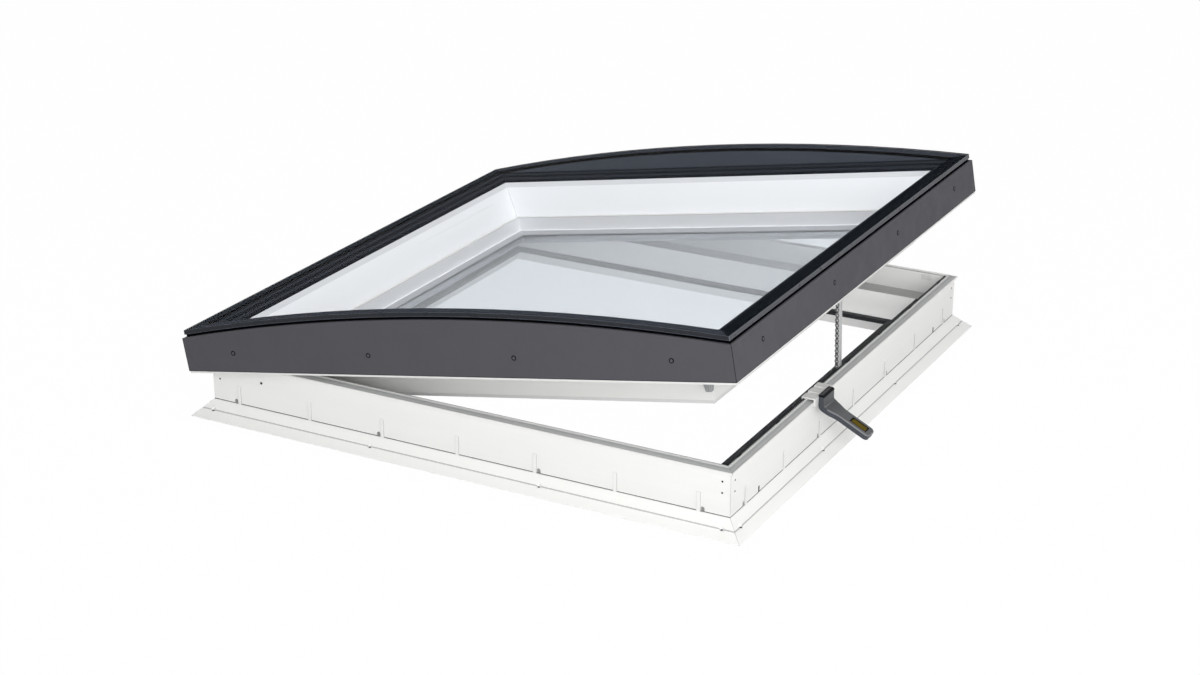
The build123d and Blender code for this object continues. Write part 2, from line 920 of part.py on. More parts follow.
def lock_peg(side):
    """A tapered peg with two ribs, under the front or back wing near its opening corner."""
    reach = sash_half_depth - peg_inset
    top = sash_bottom_edge + body_underside
    half_top = peg_top_width / 2
    half_tip = peg_tip_width / 2
    face = make_face(Polyline(
        (peg_x - half_top, -reach, top),
        (peg_x + half_top, -reach, top),
        (peg_x + half_tip, -reach, top - peg_length),
        (peg_x - half_tip, -reach, top - peg_length),
        close=True,
    ))
    peg = extrude(face, amount=peg_thickness / 2, dir=(0, 1, 0), both=True)
    for offset in (-peg_rib_offset, peg_rib_offset):
        peg = peg + Pos(peg_x + offset, -reach - peg_thickness / 2, top - peg_length / 2) * Box(
            peg_rib_width, 2 * peg_rib_proud, peg_length - peg_rib_width)
    if side == "back":
        peg = peg.mirror(Plane.XZ)
    return opened(peg)


def keeper(side):
    """A small bracket on the inner face of the frame's upper wall that takes a lock peg."""
    face_y = half_depth - upper_wall
    top = frame_height - keeper_drop
    centre_x = half_width - inner_wall_inset + keeper_length / 2 - keeper_reach
    body = box_between(
        (centre_x - keeper_length / 2, face_y - keeper_reach, top - keeper_height),
        (centre_x + keeper_length / 2, face_y, top),
    )
    opening = box_between(
        (centre_x - keeper_length / 2 + keeper_wall, face_y - keeper_reach, top - keeper_height),
        (centre_x + keeper_length / 2 - keeper_wall, face_y - keeper_wall, top - keeper_wall),
    )
    bracket = body - opening
    if side == "front":
        return bracket.mirror(Plane.XZ)
    return bracket


# The rain sensor


def sensor_clip():
    """The white saddle that hooks over the rim of the opening side, with raised steps and feet."""
    inner_x = half_width - upper_wall
    outer_x = half_width + rim_overhang
    face_x = outer_x + clip_outer_wall
    top = frame_height + clip_wall
    foot_z = frame_height - rim_slope_drop - rim_band
    face = [
        (inner_x - clip_wall, frame_height - clip_drop),
        (inner_x - clip_wall, top),
        (face_x, top),
        (face_x, foot_z),
        (outer_x + seat_clearance, foot_z),
        (outer_x + seat_clearance, frame_height + seat_clearance),
        (inner_x - seat_clearance, frame_height + seat_clearance),
        (inner_x - seat_clearance, frame_height - clip_drop),
    ]
    section = make_face(Polyline(*[(x, sensor_y, z) for x, z in face], close=True))
    saddle = extrude(section, amount=clip_length / 2, dir=(0, 1, 0), both=True)
    for place in spread(clip_steps, clip_length / 2, clip_step_length / 2):
        saddle = saddle + box_between(
            (inner_x - clip_wall, sensor_y + place - clip_step_length / 2, top),
            (face_x, sensor_y + place + clip_step_length / 2, top + clip_step_rise),
        )
    for place in spread(2, clip_length / 2, clip_foot_length / 2):
        saddle = saddle + box_between(
            (outer_x + seat_clearance, sensor_y + place - clip_foot_length / 2, foot_z - clip_foot_drop),
            (face_x, sensor_y + place + clip_foot_length / 2, foot_z),
        )
    return saddle


def sensor_face():
    """Where the sensor's block meets the clip's outer face."""
    return half_width + rim_overhang + clip_outer_wall


def sensor_frame():
    """Start and direction of the sensor's arm, for what is drawn along it."""
    start_x = sensor_face() + sensor_block_depth / 2
    start_z = frame_height + sensor_block_rise - sensor_block_drop
    return Pos(start_x, sensor_y, start_z) * Rot(0, sensor_arm_slope, 0)


def sensor_pad_place():
    """Middle of the sensing pad, measured along the arm."""
    return sensor_arm_length - sensor_pad_end - sensor_pad_length / 2


def on_arm(along, side):
    """An (x, z) point along the arm, above its middle (side 1) or below it (side -1)."""
    slope = math.radians(sensor_arm_slope)
    offset = side * sensor_arm_thickness / 2
    return (
        sensor_face() + sensor_block_depth / 2 + along * math.cos(slope) + offset * math.sin(slope),
        frame_height + sensor_block_rise - sensor_block_drop
        - along * math.sin(slope) + offset * math.cos(slope),
    )


def arm_curve(wall_x, side, radius):
    """Points of a curve from an upright face into one face of the arm."""
    start_x, start_z = on_arm(0, side)
    slope = math.radians(sensor_arm_slope)
    end_x = wall_x + radius * (1 - math.sin(slope))
    end_z = start_z - (end_x - start_x) * math.tan(slope)
    centre_z = end_z + radius * math.cos(slope)
    return bead(wall_x + radius, centre_z, radius, 180, 270 - sensor_arm_slope)


def sensor_block():
    """The upright block of the sensor and the bend into its arm, with a bevelled top."""
    low_x = sensor_face()
    high_x = low_x + sensor_block_depth
    top = frame_height + sensor_block_rise
    inner = arm_curve(low_x, -1, sensor_bend)
    outer = arm_curve(high_x, 1, sensor_throat)
    face = [
        (low_x, top),
        (high_x - sensor_block_chamfer, top),
        (high_x, top - sensor_block_chamfer),
        *outer,
        on_arm(sensor_neck_start, 1),
        on_arm(sensor_neck_start, -1),
        *reversed(inner),
    ]
    section = make_face(Polyline(*[(x, sensor_y, z) for x, z in face], close=True))
    return extrude(section, amount=sensor_block_length / 2, dir=(0, 1, 0), both=True)


def sensor_arm():
    """The arm as drawn along +X: it narrows from the block's width and has a rounded tip."""
    wide = sensor_block_length / 2
    narrow = sensor_arm_width / 2
    tip = sensor_arm_length
    corner = tip - sensor_tip_round
    inner = narrow - sensor_tip_round
    middle = sensor_tip_round * math.sin(math.radians(45))
    edges = [
        Spline((sensor_neck_start, wide), (sensor_neck_end, narrow), tangents=[(1, 0), (1, 0)]),
        Line((sensor_neck_end, narrow), (corner, narrow)),
        ThreePointArc((corner, narrow), (corner + middle, inner + middle), (tip, inner)),
        Line((tip, inner), (tip, -inner)),
        ThreePointArc((tip, -inner), (corner + middle, -inner - middle), (corner, -narrow)),
        Line((corner, -narrow), (sensor_neck_end, -narrow)),
        Spline((sensor_neck_end, -narrow), (sensor_neck_start, -wide), tangents=[(-1, 0), (-1, 0)]),
        Line((sensor_neck_start, -wide), (sensor_neck_start, wide)),
    ]
    arm = extrude(make_face(edges), amount=sensor_arm_thickness / 2, dir=(0, 0, 1), both=True)
    rim = arm.faces().sort_by(Axis.Z)[-1].edges().sort_by(Axis.X)[1:]
    return chamfer(rim, sensor_edge_chamfer)


def sensor_body():
    """The grey sensor: a block outside the rim and a sloping arm with a recess near its tip."""
    recess = Pos(sensor_pad_place(), 0, sensor_arm_thickness / 2) * Box(
        sensor_pad_length + 2 * sensor_recess_margin,
        sensor_pad_width + 2 * sensor_recess_margin,
        2 * sensor_recess_depth,
    )
    return sensor_block() + sensor_frame() * (sensor_arm() - recess)


def sensor_pad():
    """The gold sensing pad in the arm's recess."""
    thickness = sensor_recess_depth - sensor_pad_sunk
    middle = sensor_arm_thickness / 2 - sensor_recess_depth + thickness / 2
    pad = Box(sensor_pad_length, sensor_pad_width, thickness)
    return sensor_frame() * Pos(sensor_pad_place(), 0, middle) * pad


def all_parts():
    """Every piece by its node name."""
    parts = {}
    for side in SIDES:
        parts["frame_" + side] = frame_wall(side)
        parts["flange_" + side] = flange(side)
        parts["sash_" + side] = sash_bar(side)
        parts["reveal_" + side] = reveal(side)
        parts["cladding_" + side] = cladding(side)
    parts["frame_gasket"] = frame_gasket()
    parts["reveal_trim"] = reveal_trim()
    parts["arch_panel_front"] = arch_panel("front")
    parts["arch_panel_back"] = arch_panel("back")
    parts["edge_seal"] = edge_seal()
    parts["outer_glass"] = outer_glass()
    parts["glass_border"] = glass_border()
    parts["inner_glass_upper"] = pane(pane_top)
    parts["inner_glass_lower"] = pane(pane_top - pane_thickness - pane_gap)
    parts["glass_spacer"] = glass_spacer()
    parts["glazing_gasket"] = glazing_gasket()
    parts["screw_caps"] = screw_caps()
    parts["hinge_frame_leaves"] = at_hinges(frame_leaf)
    parts["hinge_sash_leaves"] = at_hinges(sash_leaf)
    parts["hinge_pins"] = at_hinges(hinge_pin)
    parts["chain_inner_links"] = chain_links("inner")
    parts["chain_outer_links"] = chain_links("outer")
    parts["chain_anchor"] = chain_anchor()
    parts["chain_drive"] = chain_drive()
    parts["lock_pegs"] = Compound(children=[lock_peg("front"), lock_peg("back")])
    parts["lock_keepers"] = Compound(children=[keeper("front"), keeper("back")])
    parts["sensor_clip"] = sensor_clip()
    parts["sensor_body"] = sensor_body()
    parts["sensor_pad"] = sensor_pad()
    return parts


os.makedirs("parts", exist_ok=True)
for name, shape in all_parts().items():
    export_step(shape, "parts/" + name + ".step")
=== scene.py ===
"""Looks of a flat roof window with a curved outer glass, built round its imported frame.

Metres, +Z up. The origin is the middle of the frame on the roof surface, and +X runs from the
hinges to the side that opens.
"""

import logging
import math
from collections.abc import Callable
from dataclasses import dataclass
from enum import Enum

import bpy
from mathutils import Matrix, Vector


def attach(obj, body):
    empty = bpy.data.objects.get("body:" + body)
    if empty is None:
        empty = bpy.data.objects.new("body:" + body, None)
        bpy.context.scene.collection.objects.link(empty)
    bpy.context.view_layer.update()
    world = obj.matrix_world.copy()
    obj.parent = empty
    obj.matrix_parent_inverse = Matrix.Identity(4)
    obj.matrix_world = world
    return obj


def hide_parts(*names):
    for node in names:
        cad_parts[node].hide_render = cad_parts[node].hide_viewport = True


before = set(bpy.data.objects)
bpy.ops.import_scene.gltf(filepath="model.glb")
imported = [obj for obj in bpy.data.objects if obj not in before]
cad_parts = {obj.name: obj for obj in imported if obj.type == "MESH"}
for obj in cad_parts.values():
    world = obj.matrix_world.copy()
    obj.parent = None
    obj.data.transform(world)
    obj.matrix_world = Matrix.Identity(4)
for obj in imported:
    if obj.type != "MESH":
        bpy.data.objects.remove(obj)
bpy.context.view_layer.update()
BODY = "root"
SIDES = ("front", "opening_side", "back", "hinge_side")
SMALL_DISC_SIDES = 24
log = logging.getLogger("roof_window")

Colour = tuple[float, float, float]
Test = Callable[[bpy.types.MeshPolygon], bool]


class Slot(Enum):
    """The record's material slots for the pieces modelled here, which the script does not use."""

    CLADDING = "grey_cladding"
    RUBBER = "black_rubber"
    STEEL = "plated_steel"
    DARK_PLASTIC = "dark_plastic"
    GOLD = "gold_pad"


class Run(Enum):
    """The way that a profile was drawn, along which its fine streaks lie."""

    ALONG_X = (0.02, 1.0, 1.0)
    ALONG_Y = (1.0, 0.02, 1.0)
    NONE = (1.0, 1.0, 1.0)


# Swing of the sash


@dataclass(frozen=True)
class Swing:
    """The hinge line and the angle that the sash stands open at."""

    hinge_x: float = -0.650
    hinge_z: float = 0.1585
    angle: float = math.radians(10.1)

    def matrix(self) -> Matrix:
        """Carries a point of the closed sash to the open one."""
        hinge = Matrix.Translation((self.hinge_x, 0.0, self.hinge_z))
        return hinge @ Matrix.Rotation(-self.angle, 4, "Y") @ hinge.inverted()


SWING = Swing()


@dataclass(frozen=True)
class ChainLine:
    """The line that the chain hangs along."""

    top: tuple[float, float, float] = (0.6232, 0.0, 0.3096)
    lean: float = math.radians(-1.68)
    pitch: float = 0.0127

    def matrix(self) -> Matrix:
        """Carries a point of the chain's own frame, which hangs along -Z, to its place."""
        return Matrix.Translation(self.top) @ Matrix.Rotation(self.lean, 4, "Y")


CHAIN = ChainLine()


class Home(Enum):
    """Where a piece was drawn, with half the width of the ring that it belongs to."""

    FRAME = 0.670
    SASH = 0.712
    CHAIN = 0.0

    def carrier(self) -> Matrix:
        """What carries the piece from where it was drawn."""
        carriers = {Home.SASH: SWING.matrix(), Home.CHAIN: CHAIN.matrix()}
        return carriers.get(self, Matrix.Identity(4))


@dataclass(frozen=True)
class Mark:
    """A band of another colour round a piece, at a range of insets and heights, in metres."""

    colour: Colour
    insets: tuple[float, float]
    heights: tuple[float, float]
    share: float = 1.0
    places: tuple[float, float] = (0.0, 9.0)
    pitch: float = 0.0


# Material building


class Sheet:
    """One material's node tree, with short ways to add and join nodes."""

    def __init__(self, name: str, home: Home = Home.FRAME) -> None:
        """Starts an empty tree.

        Args:
            name: the material's name.
            home: where the piece was drawn.
        """
        self.material = bpy.data.materials.new(name)
        self.material.use_nodes = True
        self.tree = self.material.node_tree
        self.tree.nodes.clear()
        self.place = self.tree.nodes.new("ShaderNodeTexCoord").outputs["Object"]
        self.half = home.value
        if home is not Home.FRAME:
            back = home.carrier().inverted()
            feeds = {"Vector": self.place, "Location": back.to_translation()}
            feeds["Rotation"] = back.to_euler()
            self.place = self.node("Mapping", feeds).outputs["Vector"]

    def node(self, kind: str, feeds: dict | None = None, **settings) -> bpy.types.Node:
        """Adds a node.

        Args:
            kind: the node's type, without the ShaderNode before it.
            feeds: what goes into its inputs, by name or number.
            settings: the node's own settings.

        Returns:
            The node.
        """
        made = self.tree.nodes.new("ShaderNode" + kind)
        for key, value in settings.items():
            setattr(made, key, value)
        for key, value in (feeds or {}).items():
            self.feed(made.inputs[key], value)
        return made

    def feed(self, socket: bpy.types.NodeSocket, value: object) -> None:
        """Joins another node's output to an input, or sets the input's own value.

        Args:
            socket: the input.
            value: an output, a number, a vector or a colour.
        """
        if isinstance(value, bpy.types.NodeSocket):
            self.tree.links.new(value, socket)
        elif socket.type == "RGBA":
            socket.default_value = (*value, 1.0)
        else:
            socket.default_value = value

    def stretch(self, scale: tuple[float, float, float]) -> bpy.types.NodeSocket:
        """Object coordinates, scaled along each axis."""
        return self.node("Mapping", {"Vector": self.place, "Scale": scale}).outputs["Vector"]

    def noise(
        self,
        size: float,
        detail: float = 3.0,
        run: Run = Run.NONE,
    ) -> bpy.types.NodeSocket:
        """Noise from 0 to 1: its blots' size in metres, its finer layers and its run."""
        feeds = {"Vector": self.stretch(run.value), "Scale": 1.0 / size, "Detail": detail}
        return self.node("TexNoise", feeds).outputs["Fac"]

    def between(
        self,
        value: object,
        low: float,
        high: float,
        source: tuple[float, float] = (0.0, 1.0),
    ) -> bpy.types.NodeSocket:
        """Carries a value from one range to another, held at its ends.

        Args:
            value: the value.
            low: what the source's first end becomes.
            high: what its second end becomes.
            source: the range that the value comes in.

        Returns:
            The value in its new range.
        """
        feeds = {"Value": value, "From Min": source[0], "From Max": source[1]}
        feeds.update({"To Min": low, "To Max": high})
        return self.node("MapRange", feeds).outputs["Result"]

    def maths(self, operation: str, first: object, second: object = 0.0) -> bpy.types.NodeSocket:
        """One sum, by its name and its terms."""
        return self.node("Math", {0: first, 1: second}, operation=operation).outputs[0]

    def blend(self, share: object, low: object, high: object) -> bpy.types.NodeSocket:
        """Mixes two colours.

        Args:
            share: how much of the second there is.
            low: the first colour.
            high: the second colour.

        Returns:
            The mixed colour.
        """
        made = self.node("Mix", data_type="RGBA")
        self.feed(made.inputs[0], share)
        self.feed(made.inputs[6], low)
        self.feed(made.inputs[7], high)
        return made.outputs[2]

    def within(self, value: object, low: float, high: float) -> bpy.types.NodeSocket:
        """Whether a value lies in a range.

        Args:
            value: the value.
            low: the range's lower end.
            high: its upper end.

        Returns:
            1 inside the range, else 0.
        """
        made = self.node("Math", {0: value, 1: (low + high) / 2.0}, operation="COMPARE")
        made.inputs[2].default_value = (high - low) / 2.0
        return made.outputs[0]

    def ring(self) -> tuple[bpy.types.NodeSocket, ...]:
        """Where a point lies on a square ring.

        Returns:
            Its inset from the outer line, its height, how far it lies from the middle of its
            side, and its distance from the mitre.
        """
        split = self.node("SeparateXYZ", {0: self.place})
        first = self.maths("ABSOLUTE", split.outputs["X"])
        second = self.maths("ABSOLUTE", split.outputs["Y"])
        inset = self.maths("SUBTRACT", self.half, self.maths("MAXIMUM", first, second))
        mitre = self.maths("ABSOLUTE", self.maths("SUBTRACT", first, second))
        return inset, split.outputs["Z"], self.maths("MINIMUM", first, second), mitre

    def from_pitch(self, value: object, pitch: float) -> bpy.types.NodeSocket:
        """How far a value lies from the nearest multiple of a pitch.

        Args:
            value: the value.
            pitch: the pitch.

        Returns:
            The distance.
        """
        made = self.node("Math", {0: value, 1: pitch / 2.0}, operation="WRAP")
        made.inputs[2].default_value = -pitch / 2.0
        return self.maths("ABSOLUTE", made.outputs[0])

    def show(self, shader: bpy.types.NodeSocket) -> bpy.types.Material:
        """Joins a shader to the output and gives the finished material."""
        self.node("OutputMaterial", {"Surface": shader})
        return self.material


def scaled(colour: Colour, factor: float) -> Colour:
    """A colour made lighter or darker by one factor."""
    return tuple(min(1.0, part * factor) for part in colour)


@dataclass(frozen=True)
class Finish:
    """A solid finish: its colour, how it wanders, its grain and the painted highlights at its
    edges.
    """

    name: str
    colour: Colour
    roughness: float
    roughness_spread: float = 0.08
    metallic: float = 0.0
    mottle: float = 0.05
    mottle_size: float = 0.09
    grain_size: float = 0.0012
    grain_depth: float = 0.00002
    edge_radius: float = 0.0008
    painted_edge_light: float = 1.12
    specular: float = 0.5
    run: Run = Run.NONE
    home: Home = Home.FRAME
    marks: tuple[Mark, ...] = ()
    mitre: float = 0.0
    mitre_shade: float = 0.35
    fine_scale: float = 6.0
    fine_share: float = 0.35
    gloss_scale: float = 0.4
    gloss_range: tuple[float, float] = (0.25, 0.75)
    edge_turn: tuple[float, float] = (0.72, 0.995)

    def marked(self, sheet: Sheet, tone: bpy.types.NodeSocket) -> bpy.types.NodeSocket:
        """The colour with its bands and the thin dark line where two lengths meet.

        Args:
            sheet: the material being built.
            tone: the plain colour.

        Returns:
            The colour.
        """
        if not self.marks and not self.mitre:
            return tone
        inset, height, along, mitre = sheet.ring()
        for mark in self.marks:
            inside = sheet.within(inset, *mark.insets)
            level = sheet.within(height, *mark.heights)
            spot = sheet.from_pitch(along, mark.pitch) if mark.pitch else along
            area = sheet.maths("MULTIPLY", inside, level)
            area = sheet.maths("MULTIPLY", area, sheet.within(spot, *mark.places))
            tone = sheet.blend(sheet.maths("MULTIPLY", area, mark.share), tone, mark.colour)
        if self.mitre:
            line = sheet.between(mitre, 1.0, 0.0, (self.mitre * 0.5, self.mitre))
            tone = sheet.blend(line, tone, scaled(self.colour, self.mitre_shade))
        return tone

    def tone(self, sheet: Sheet) -> bpy.types.NodeSocket:
        """The colour, with a slow wander and a finer one.

        Args:
            sheet: the material being built.

        Returns:
            The colour.
        """
        slow = sheet.noise(self.mottle_size, 2.0, self.run)
        fine = sheet.noise(self.grain_size * self.fine_scale, 3.0, self.run)
        wander = sheet.maths("MULTIPLY_ADD", fine, self.fine_share)
        sheet.feed(wander.node.inputs[2], sheet.maths("MULTIPLY", slow, 1.0 - self.fine_share))
        low = scaled(self.colour, 1.0 - self.mottle)
        high = scaled(self.colour, 1.0 + self.mottle)
        return sheet.blend(wander, low, high)

    def height(self, sheet: Sheet) -> bpy.types.NodeSocket:
        """The height of the surface's grain, in metres."""
        grain = sheet.noise(self.grain_size, 4.0, self.run)
        return sheet.maths("MULTIPLY", grain, self.grain_depth)

    def gloss(self, sheet: Sheet) -> bpy.types.NodeSocket:
        """The roughness, which wanders about its value.

        Args:
            sheet: the material being built.

        Returns:
            The roughness.
        """
        blots = sheet.noise(self.mottle_size * self.gloss_scale, 4.0, self.run)
        low = max(0.0, self.roughness - self.roughness_spread)
        high = min(1.0, self.roughness + self.roughness_spread)
        return sheet.between(blots, low, high, self.gloss_range)

    def edges(self, sheet: Sheet) -> tuple[bpy.types.NodeSocket, bpy.types.NodeSocket]:
        """Rounded normals at sharp edges, and how near an edge each point is.

        Args:
            sheet: the material being built.

        Returns:
            The rounded normal and the nearness, from 0 to 1.
        """
        rounded = sheet.node("Bevel", {"Radius": self.edge_radius}, samples=4).outputs["Normal"]
        flat = sheet.node("NewGeometry").outputs["Normal"]
        turn = sheet.node("VectorMath", {0: rounded, 1: flat}, operation="DOT_PRODUCT")
        return rounded, sheet.between(turn.outputs["Value"], 1.0, 0.0, self.edge_turn)

    def shader(self, sheet: Sheet) -> bpy.types.Node:
        """The finish's Principled shader.

        Args:
            sheet: the material being built.

        Returns:
            The shader's node.
        """
        rounded, nearness = self.edges(sheet)
        # Points near an edge are painted lighter as a painted highlight; a factor below 1 paints
        # shade there instead.
        painted_edges = sheet.blend(nearness, self.tone(sheet), scaled(self.colour, self.painted_edge_light))
        bump_feeds = {"Height": self.height(sheet), "Distance": 1.0, "Normal": rounded}
        bump = sheet.node("Bump", bump_feeds)
        feeds = {"Base Color": self.marked(sheet, painted_edges), "Roughness": self.gloss(sheet)}
        feeds["Normal"] = bump.outputs["Normal"]
        made = sheet.node("BsdfPrincipled", feeds)
        made.inputs["Metallic"].default_value = self.metallic
        made.inputs["Specular IOR Level"].default_value = self.specular
        return made

    def material(self) -> bpy.types.Material:
        """Builds the material."""
        sheet = Sheet(self.name, self.home)
        return sheet.show(self.shader(sheet).outputs["BSDF"])


@dataclass(frozen=True)
class LinkFinish(Finish):
    """Chain steel: bright pins and round link ends, with painted shade in the joints between them
    and round the pins.
    """

    joint_shade: Colour = (0.02, 0.02, 0.022)
    pin_radius: float = 0.0020
    ring_radius: float = 0.0040
    end_radius: float = 0.0047
    back_depth: float = 0.0024

    def marked(self, sheet: Sheet, tone: bpy.types.NodeSocket) -> bpy.types.NodeSocket:
        """The colour with painted shade in its joints and in rings round its pins.

        Args:
            sheet: the material being built.
            tone: the plain colour.

        Returns:
            The colour.
        """
        split = sheet.node("SeparateXYZ", {0: sheet.place})
        along = sheet.from_pitch(split.outputs["Z"], CHAIN.pitch)
        across = split.outputs["X"]
        squares = sheet.maths("MULTIPLY", along, along)
        total = sheet.maths("ADD", squares, sheet.maths("MULTIPLY", across, across))
        radius = sheet.maths("SQRT", total)
        # Painted shade in a ring round each pin and on the inner side beyond each link's round end.
        ring = sheet.within(radius, self.pin_radius, self.ring_radius)
        gap = sheet.maths("GREATER_THAN", radius, self.end_radius)
        inner = sheet.maths("LESS_THAN", across, self.back_depth)
        dark = sheet.maths("MAXIMUM", ring, sheet.maths("MULTIPLY", gap, inner))
        return sheet.blend(dark, tone, self.joint_shade)


@dataclass(frozen=True)
class Glazing:
    """Clear glass that bends what is seen through it, mirrors a little and lets lamps through.

    The mirror's share and blur are set by the look, and are below and above a real pane's.
    """

    name: str
    tint: Colour
    ior: float = 1.45
    mirror: float = 0.05
    blur: float = 0.0
    smear: float = 0.012
    smear_size: float = 0.05
    smear_range: tuple[float, float] = (0.5, 0.8)

    def material(self) -> bpy.types.Material:
        """Builds the material.

        Returns:
            The material.
        """
        sheet = Sheet(self.name)
        face_tint = tuple(math.sqrt(part) for part in self.tint)
        blots = sheet.noise(self.smear_size, 5.0)
        smears = sheet.between(blots, self.blur, self.blur + self.smear, self.smear_range)
        bent = sheet.node("BsdfRefraction", {"Color": face_tint, "Roughness": 0.0, "IOR": self.ior})
        mirrored = sheet.node("BsdfGlossy", {"Color": (1.0, 1.0, 1.0), "Roughness": smears})
        grazing = sheet.node("Fresnel", {"IOR": self.ior}).outputs[0]
        share = sheet.maths("MULTIPLY", grazing, self.mirror)
        body = sheet.node("MixShader", {0: share, 1: bent.outputs[0], 2: mirrored.outputs[0]})
        clear = sheet.node("BsdfTransparent", {"Color": (1.0, 1.0, 1.0)})
        path = sheet.node("LightPath")
        shadow, bounced = path.outputs["Is Shadow Ray"], path.outputs["Is Diffuse Ray"]
        lamps = sheet.maths("MAXIMUM", shadow, bounced)
        mixed = sheet.node("MixShader", {0: lamps, 1: body.outputs[0], 2: clear.outputs[0]})
        return sheet.show(mixed.outputs[0])


